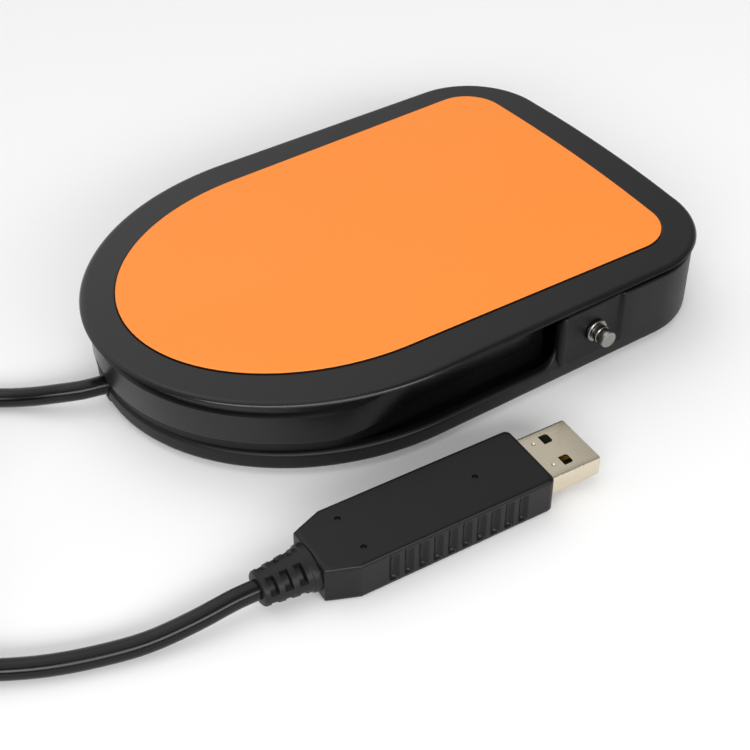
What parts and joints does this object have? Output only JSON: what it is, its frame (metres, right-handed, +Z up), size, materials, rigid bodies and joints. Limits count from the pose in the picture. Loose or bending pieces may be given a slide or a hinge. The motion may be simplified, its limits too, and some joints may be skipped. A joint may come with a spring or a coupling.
{
  "type": "usb foot pedal switch",
  "caption": "Low hinged foot pedal with a padded plate over a shallow tray, a spring-returned switch inside, and a coiled lead ending in a USB plug.",
  "frame": {"origin": "on the floor under the middle of the pedal's box, measured without the lead, coil and plug", "axes": "+X along the pedal from the round toe end to the heel end, +Y to the side away from the plug, +Z up"},
  "size_m": [0.226, 0.1117, 0.0187],
  "materials": {
    "black_plastic": "fine satin moulded ABS",
    "pad_orange": "smooth orange plastic sheet",
    "black_rubber": "soft black rubber",
    "bright_steel": "bright turned steel",
    "board_green": "green solder mask on glass laminate",
    "switch_black": "black moulded plastic",
    "plunger_ivory": "ivory moulded plastic",
    "contact_gold": "gold-plated contact metal",
    "lead_black": "smooth black PVC",
    "plug_black": "fine-grained black plastic",
    "wire_red": "smooth PVC insulation",
    "nickel_shell": "nickel-plated pressed steel",
    "tie_black": "woven hook-and-loop strap"
  },
  "bodies": {
    "base": {"base_tray": "black_plastic", "rubber_feet": "black_rubber", "hinge_pin": "bright_steel", "pin_clips": "bright_steel", "return_spring": "bright_steel", "stop_bumpers": "black_rubber", "circuit_board": "board_green", "board_screws": "bright_steel", "switch_body": "switch_black", "switch_terminals": "contact_gold", "cable_bush": "black_rubber", "cable_tail": "lead_black", "cable_clamp": "switch_black", "clamp_screws": "bright_steel", "signal_wires": "wire_red", "plug_housing": "plug_black", "plug_boot": "lead_black", "plug_cable_end": "lead_black", "plug_board": "board_green", "plug_chip": "switch_black", "plug_wires": "wire_red", "usb_shell": "nickel_shell", "usb_tongue": "switch_black", "usb_contacts": "contact_gold", "cord_at_pedal": "lead_black", "cord_coil": "lead_black", "coil_tie": "tie_black", "cord_at_plug": "lead_black"},
    "pedal": {"pedal_cover": "black_plastic", "foot_pad": "pad_orange"},
    "plunger": {"switch_plunger": "plunger_ivory"}
  },
  "joints": [
    {"name": "pedal_press", "type": "hinge", "parent": "base", "child": "pedal", "pos_m": [0.026, 0, 0.0095], "axis": [0, -1, 0], "range_deg": [0, 1.4], "stiffness_Nm_per_rad": 7.5, "springref_deg": -1.95, "deforming": ["return_spring"]},
    {"name": "plunger_press", "type": "slide", "parent": "base", "child": "plunger", "axis": [0, 0, -1], "range_m": [0, 0.0007]}
  ],
  "couplings": [
    {"joint": "plunger_press", "follows": "pedal_press", "m_per_rad": 0.026}
  ]
}
